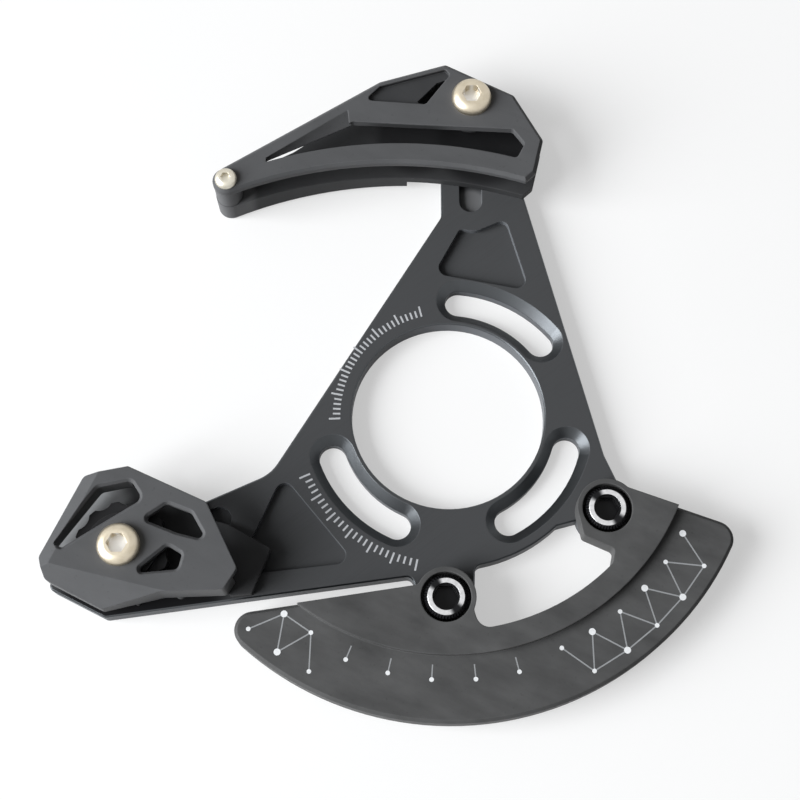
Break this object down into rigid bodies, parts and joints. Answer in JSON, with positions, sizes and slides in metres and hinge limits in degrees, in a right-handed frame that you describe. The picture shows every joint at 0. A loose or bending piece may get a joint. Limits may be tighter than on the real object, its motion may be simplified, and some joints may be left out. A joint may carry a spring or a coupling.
{
  "type": "bicycle chain guide",
  "caption": "Bicycle chain guide: slotted backplate round the bottom bracket, adjustable upper guide, lower guide with a toothed pulley, and a bash guard under the chainring.",
  "frame": {"origin": "centre of the bottom bracket bore on the backplate's back face, the face against the bicycle's tabs", "axes": "+Z outboard along the bore, away from the bicycle; +Y along the top arm; +X to the right when seen from outboard, towards the bicycle's front"},
  "size_m": [0.1514, 0.1536, 0.0176],
  "materials": {
    "anodised_plate": "satin black anodising over machined aluminium",
    "guard_moulding": "matte moulded nylon",
    "guide_moulding": "fine-grained moulded nylon",
    "pulley_moulding": "smooth moulded nylon",
    "pale_bolt": "pale plated steel",
    "black_bolt": "glossy black plated steel",
    "plain_steel": "zinc plate",
    "bearing_steel": "ground steel",
    "insert_brass": "plain brass",
    "sleeve_aluminium": "turned aluminium"
  },
  "bodies": {
    "frame": {"backplate": "anodised_plate", "bash_guard": "guard_moulding", "guard_bolts": "black_bolt", "guard_sleeves": "sleeve_aluminium"},
    "upper_guide": {"upper_outer_cheek": "guide_moulding", "upper_inner_cheek": "guide_moulding", "upper_clamp_bolt": "pale_bolt", "upper_nut_plate": "plain_steel", "tip_screw": "pale_bolt", "tip_insert": "insert_brass"},
    "lower_guide": {"lower_cover": "guide_moulding", "lower_base": "guide_moulding", "lower_clamp_bolt": "pale_bolt", "lower_nut_plate": "plain_steel", "axle_sleeve": "sleeve_aluminium", "bearing_spacers": "sleeve_aluminium", "bearing_inner_race": "bearing_steel"},
    "pulley_wheel": {"pulley": "pulley_moulding", "bearing_outer_race": "bearing_steel", "bearing_balls": "bearing_steel", "bearing_shields": "bearing_steel"}
  },
  "joints": [
    {"name": "upper_guide_slide", "type": "slide", "parent": "frame", "child": "upper_guide", "axis": [0, 1, 0], "range_m": [-0.0115, 0.001]},
    {"name": "lower_guide_slide", "type": "slide", "parent": "frame", "child": "lower_guide", "axis": [0.9272, 0.3746, 0], "range_m": [-0.003, 0.0115]},
    {"name": "pulley_spin", "type": "hinge", "parent": "lower_guide", "child": "pulley_wheel", "pos_m": [-0.0715, -0.0324, 0.0099], "axis": [0, 0, 1], "continuous": true}
  ]
}
